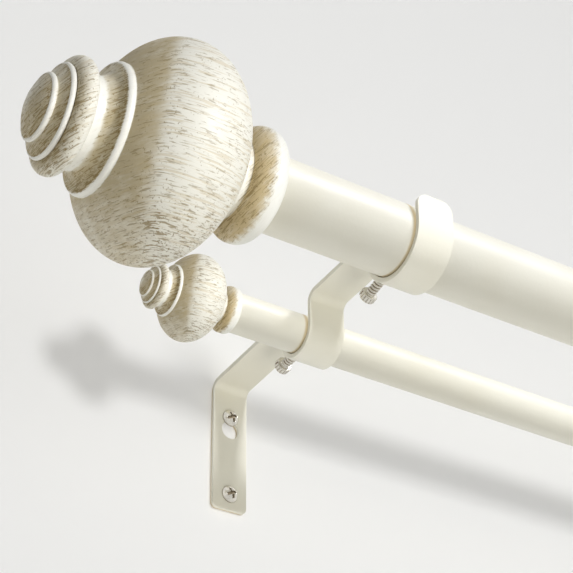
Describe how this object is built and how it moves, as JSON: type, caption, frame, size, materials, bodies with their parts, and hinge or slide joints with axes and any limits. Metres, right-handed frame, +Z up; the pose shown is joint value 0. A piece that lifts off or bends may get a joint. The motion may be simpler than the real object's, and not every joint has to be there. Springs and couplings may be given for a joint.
{
  "type": "double curtain pole",
  "caption": "Telescopic front and rear curtain poles with turned antique cream finials, held one before the other on bent strip wall brackets for layered curtains.",
  "frame": {"origin": "on the wall, at the centre of the rectangle of wall screws", "axes": "+X along the poles towards the end that pulls out, +Y into the wall, +Z up"},
  "size_m": [0.7552, 0.2048, 0.0968],
  "materials": {
    "pole_paint": "satin ivory stove paint",
    "bracket_paint": "satin ivory powder coat",
    "finial_resin": "cast resin, cream with brown glaze wiped into the grain and grooves",
    "screw_nickel": "bright nickel plate",
    "stud_steel": "plain zinc plate",
    "plug_plastic": "moulded"
  },
  "bodies": {
    "wall_set": {"front_outer_tube": "pole_paint", "front_finial_left": "finial_resin", "front_end_plug_left": "plug_plastic", "front_finial_stud_left": "stud_steel", "rear_outer_tube": "pole_paint", "rear_finial_left": "finial_resin", "rear_end_plug_left": "plug_plastic", "rear_finial_stud_left": "stud_steel", "bracket_left": "bracket_paint", "wall_screw_upper_left": "screw_nickel", "wall_screw_lower_left": "screw_nickel", "bracket_right": "bracket_paint", "wall_screw_upper_right": "screw_nickel", "wall_screw_lower_right": "screw_nickel"},
    "front_extension": {"front_inner_tube": "pole_paint", "front_finial_right": "finial_resin", "front_end_plug_right": "plug_plastic", "front_finial_stud_right": "stud_steel"},
    "rear_extension": {"rear_inner_tube": "pole_paint", "rear_finial_right": "finial_resin", "rear_end_plug_right": "plug_plastic", "rear_finial_stud_right": "stud_steel"},
    "front_lock_screw_left_body": {"front_lock_screw_left": "screw_nickel"},
    "rear_lock_screw_left_body": {"rear_lock_screw_left": "screw_nickel"},
    "front_lock_screw_right_body": {"front_lock_screw_right": "screw_nickel"},
    "rear_lock_screw_right_body": {"rear_lock_screw_right": "screw_nickel"}
  },
  "joints": [
    {"name": "front_extend", "type": "slide", "parent": "wall_set", "child": "front_extension", "axis": [1, 0, 0], "range_m": [0, 0.36]},
    {"name": "rear_extend", "type": "slide", "parent": "wall_set", "child": "rear_extension", "axis": [1, 0, 0], "range_m": [0, 0.36]},
    {"name": "front_lock_left", "type": "slide", "parent": "wall_set", "child": "front_lock_screw_left_body", "axis": [0, 0.9659, -0.2588], "range_m": [0, 0.0015]},
    {"name": "rear_lock_left", "type": "slide", "parent": "wall_set", "child": "rear_lock_screw_left_body", "axis": [0, 0.9976, -0.0698], "range_m": [0, 0.0015]},
    {"name": "front_lock_right", "type": "slide", "parent": "wall_set", "child": "front_lock_screw_right_body", "axis": [0, 0.9659, -0.2588], "range_m": [0, 0.0015]},
    {"name": "rear_lock_right", "type": "slide", "parent": "wall_set", "child": "rear_lock_screw_right_body", "axis": [0, 0.9976, -0.0698], "range_m": [0, 0.0015]}
  ]
}
